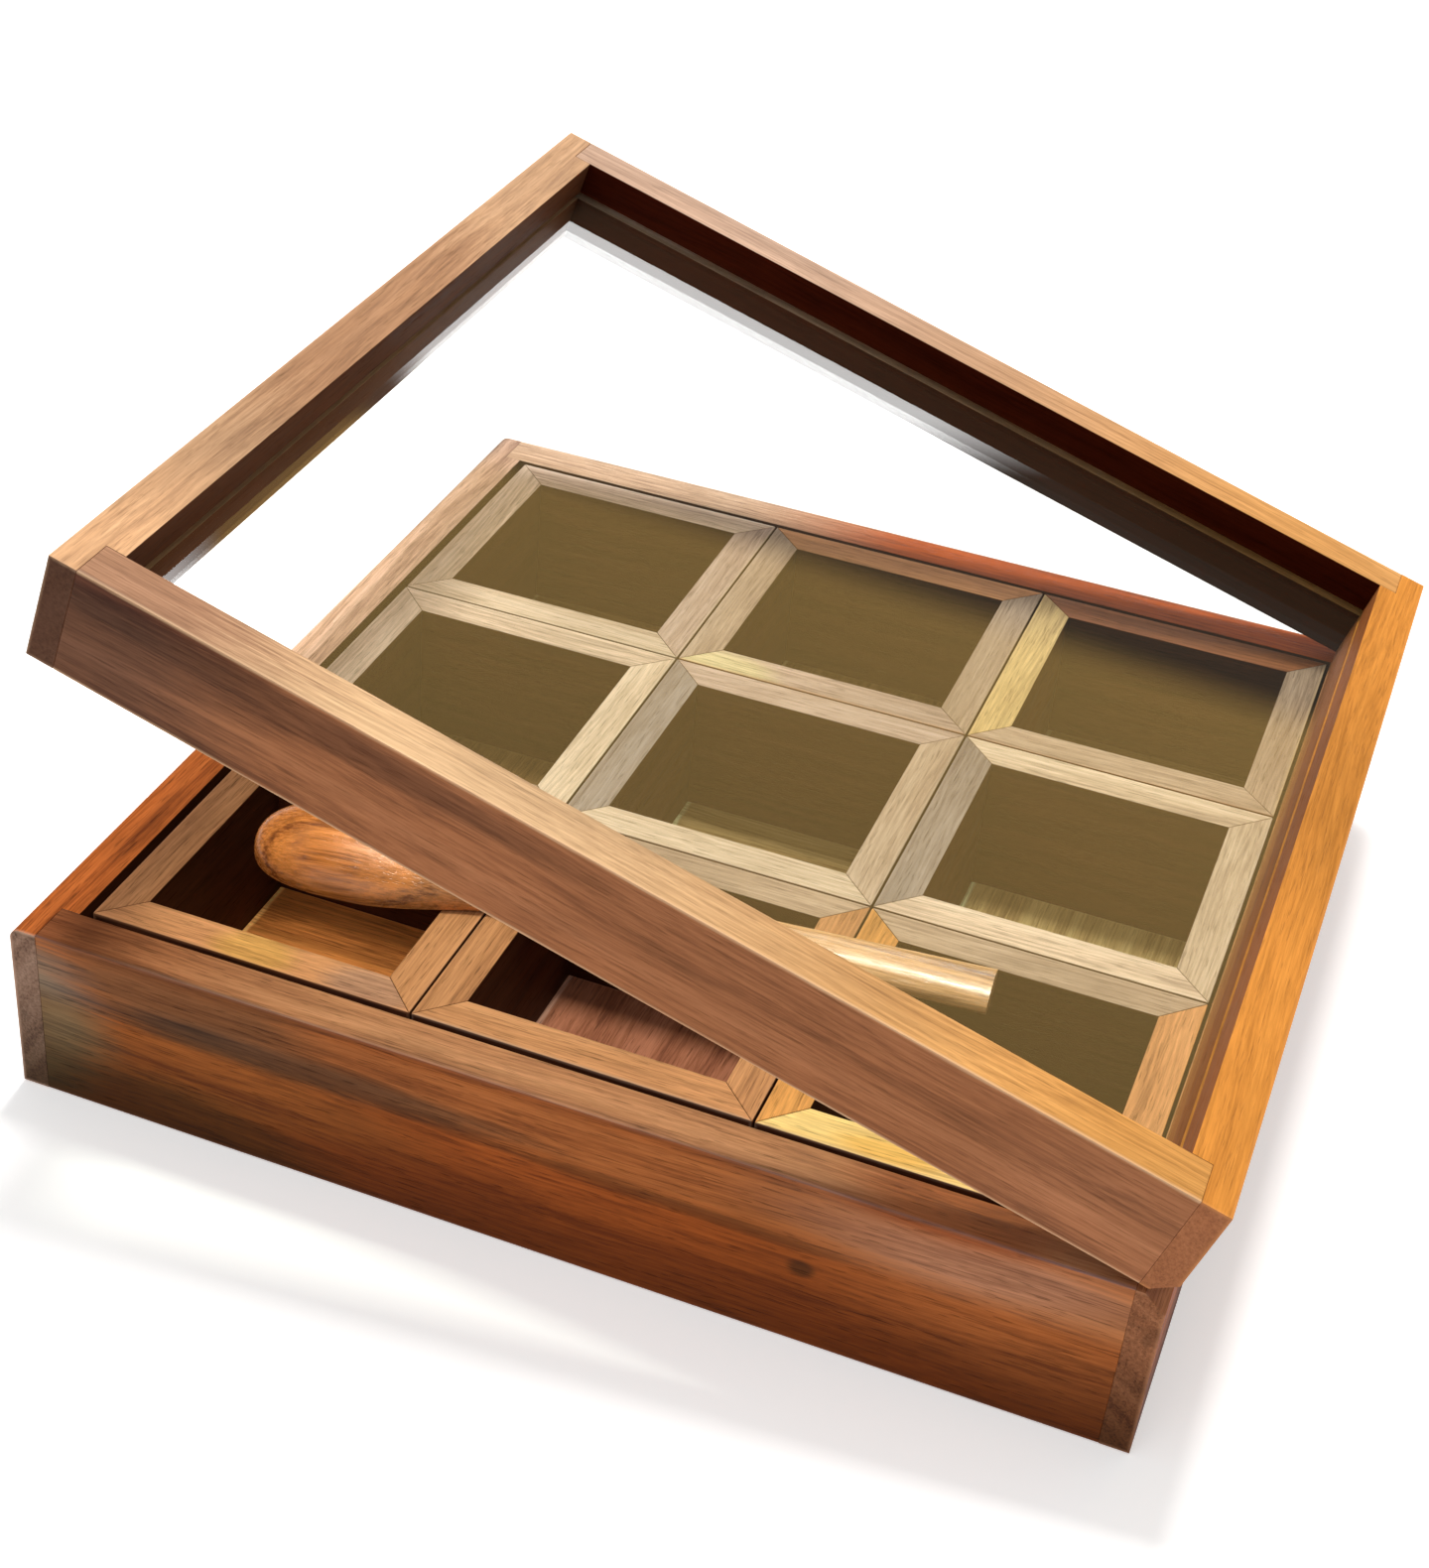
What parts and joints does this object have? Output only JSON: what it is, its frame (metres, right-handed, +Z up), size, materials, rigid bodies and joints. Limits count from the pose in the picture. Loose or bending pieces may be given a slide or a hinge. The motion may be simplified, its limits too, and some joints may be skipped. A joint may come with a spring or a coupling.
{
  "type": "spice box",
  "caption": "Square wooden spice box with a hinged glass-topped lid, a grid of loose square cups and a carved wooden spoon.",
  "frame": {"origin": "centre of the base's underside", "axes": "+Z up, -Y towards the opening side, +Y towards the hinges, +X to the right seen from the opening side"},
  "size_m": [0.2, 0.2057, 0.1104],
  "materials": {
    "case_wood": "oiled dark red-brown hardwood, satin",
    "lid_wood": "oiled orange-brown hardwood, satin",
    "panel_wood": "sanded hardwood sheet, matt",
    "cup_wood": "sanded light brown hardwood, satin",
    "cup_floor_wood": "sanded figured hardwood, satin",
    "spoon_wood": "polished orange-brown hardwood",
    "glass": "clear polished float glass",
    "hinge_brass": "rolled brass, satin",
    "screw_brass": "turned brass, satin"
  },
  "bodies": {
    "base": {"base_front_wall": "case_wood", "base_back_wall": "case_wood", "base_left_wall": "case_wood", "base_right_wall": "case_wood", "base_bottom_panel": "panel_wood", "hinge_left_base_leaf": "hinge_brass", "hinge_left_pin": "hinge_brass", "hinge_right_base_leaf": "hinge_brass", "hinge_right_pin": "hinge_brass", "hinge_base_screws": "screw_brass"},
    "lid": {"lid_front_rail": "lid_wood", "lid_back_rail": "lid_wood", "lid_left_rail": "lid_wood", "lid_right_rail": "lid_wood", "lid_glass": "glass", "hinge_left_lid_leaf": "hinge_brass", "hinge_right_lid_leaf": "hinge_brass", "hinge_lid_screws": "screw_brass"},
    "cup_front_left": {"cup_front_left_side_walls": "cup_wood", "cup_front_left_end_walls": "cup_wood", "cup_front_left_floor": "cup_floor_wood"},
    "cup_front_middle": {"cup_front_middle_side_walls": "cup_wood", "cup_front_middle_end_walls": "cup_wood", "cup_front_middle_floor": "cup_floor_wood"},
    "cup_front_right": {"cup_front_right_side_walls": "cup_wood", "cup_front_right_end_walls": "cup_wood", "cup_front_right_floor": "cup_floor_wood"},
    "cup_middle_left": {"cup_middle_left_side_walls": "cup_wood", "cup_middle_left_end_walls": "cup_wood", "cup_middle_left_floor": "cup_floor_wood"},
    "cup_centre": {"cup_centre_side_walls": "cup_wood", "cup_centre_end_walls": "cup_wood", "cup_centre_floor": "cup_floor_wood"},
    "cup_middle_right": {"cup_middle_right_side_walls": "cup_wood", "cup_middle_right_end_walls": "cup_wood", "cup_middle_right_floor": "cup_floor_wood"},
    "cup_back_left": {"cup_back_left_side_walls": "cup_wood", "cup_back_left_end_walls": "cup_wood", "cup_back_left_floor": "cup_floor_wood"},
    "cup_back_middle": {"cup_back_middle_side_walls": "cup_wood", "cup_back_middle_end_walls": "cup_wood", "cup_back_middle_floor": "cup_floor_wood"},
    "cup_back_right": {"cup_back_right_side_walls": "cup_wood", "cup_back_right_end_walls": "cup_wood", "cup_back_right_floor": "cup_floor_wood"},
    "spoon": {"spoon": "spoon_wood"}
  },
  "joints": [
    {"name": "lid_hinge", "type": "hinge", "parent": "base", "child": "lid", "pos_m": [0, 0.099, 0.0342], "axis": [-1, 0, 0], "range_deg": [-16.6, 88.4]},
    {"name": "cup_front_left_lift", "type": "slide", "parent": "base", "child": "cup_front_left", "axis": [0, 0, 1], "range_m": [0, 0.034]},
    {"name": "cup_front_middle_lift", "type": "slide", "parent": "base", "child": "cup_front_middle", "axis": [0, 0, 1], "range_m": [0, 0.034]},
    {"name": "cup_front_right_lift", "type": "slide", "parent": "base", "child": "cup_front_right", "axis": [0, 0, 1], "range_m": [0, 0.0115]},
    {"name": "cup_middle_left_lift", "type": "slide", "parent": "base", "child": "cup_middle_left", "axis": [0, 0, 1], "range_m": [0, 0.03]},
    {"name": "cup_centre_lift", "type": "slide", "parent": "base", "child": "cup_centre", "axis": [0, 0, 1], "range_m": [0, 0.03]},
    {"name": "cup_middle_right_lift", "type": "slide", "parent": "base", "child": "cup_middle_right", "axis": [0, 0, 1], "range_m": [0, 0.0115]},
    {"name": "cup_back_left_lift", "type": "slide", "parent": "base", "child": "cup_back_left", "axis": [0, 0, 1], "range_m": [0, 0.0115]},
    {"name": "cup_back_middle_lift", "type": "slide", "parent": "base", "child": "cup_back_middle", "axis": [0, 0, 1], "range_m": [0, 0.0115]},
    {"name": "cup_back_right_lift", "type": "slide", "parent": "base", "child": "cup_back_right", "axis": [0, 0, 1], "range_m": [0, 0.0115]},
    {"name": "spoon_lift", "type": "slide", "parent": "cup_front_right", "child": "spoon", "axis": [0, 0, 1], "range_m": [0, 0.016]}
  ],
  "couplings": [
    {"joint": "cup_middle_right_lift", "follows": "cup_front_right_lift", "ratio": 1},
    {"joint": "cup_back_right_lift", "follows": "cup_front_right_lift", "ratio": 1}
  ]
}
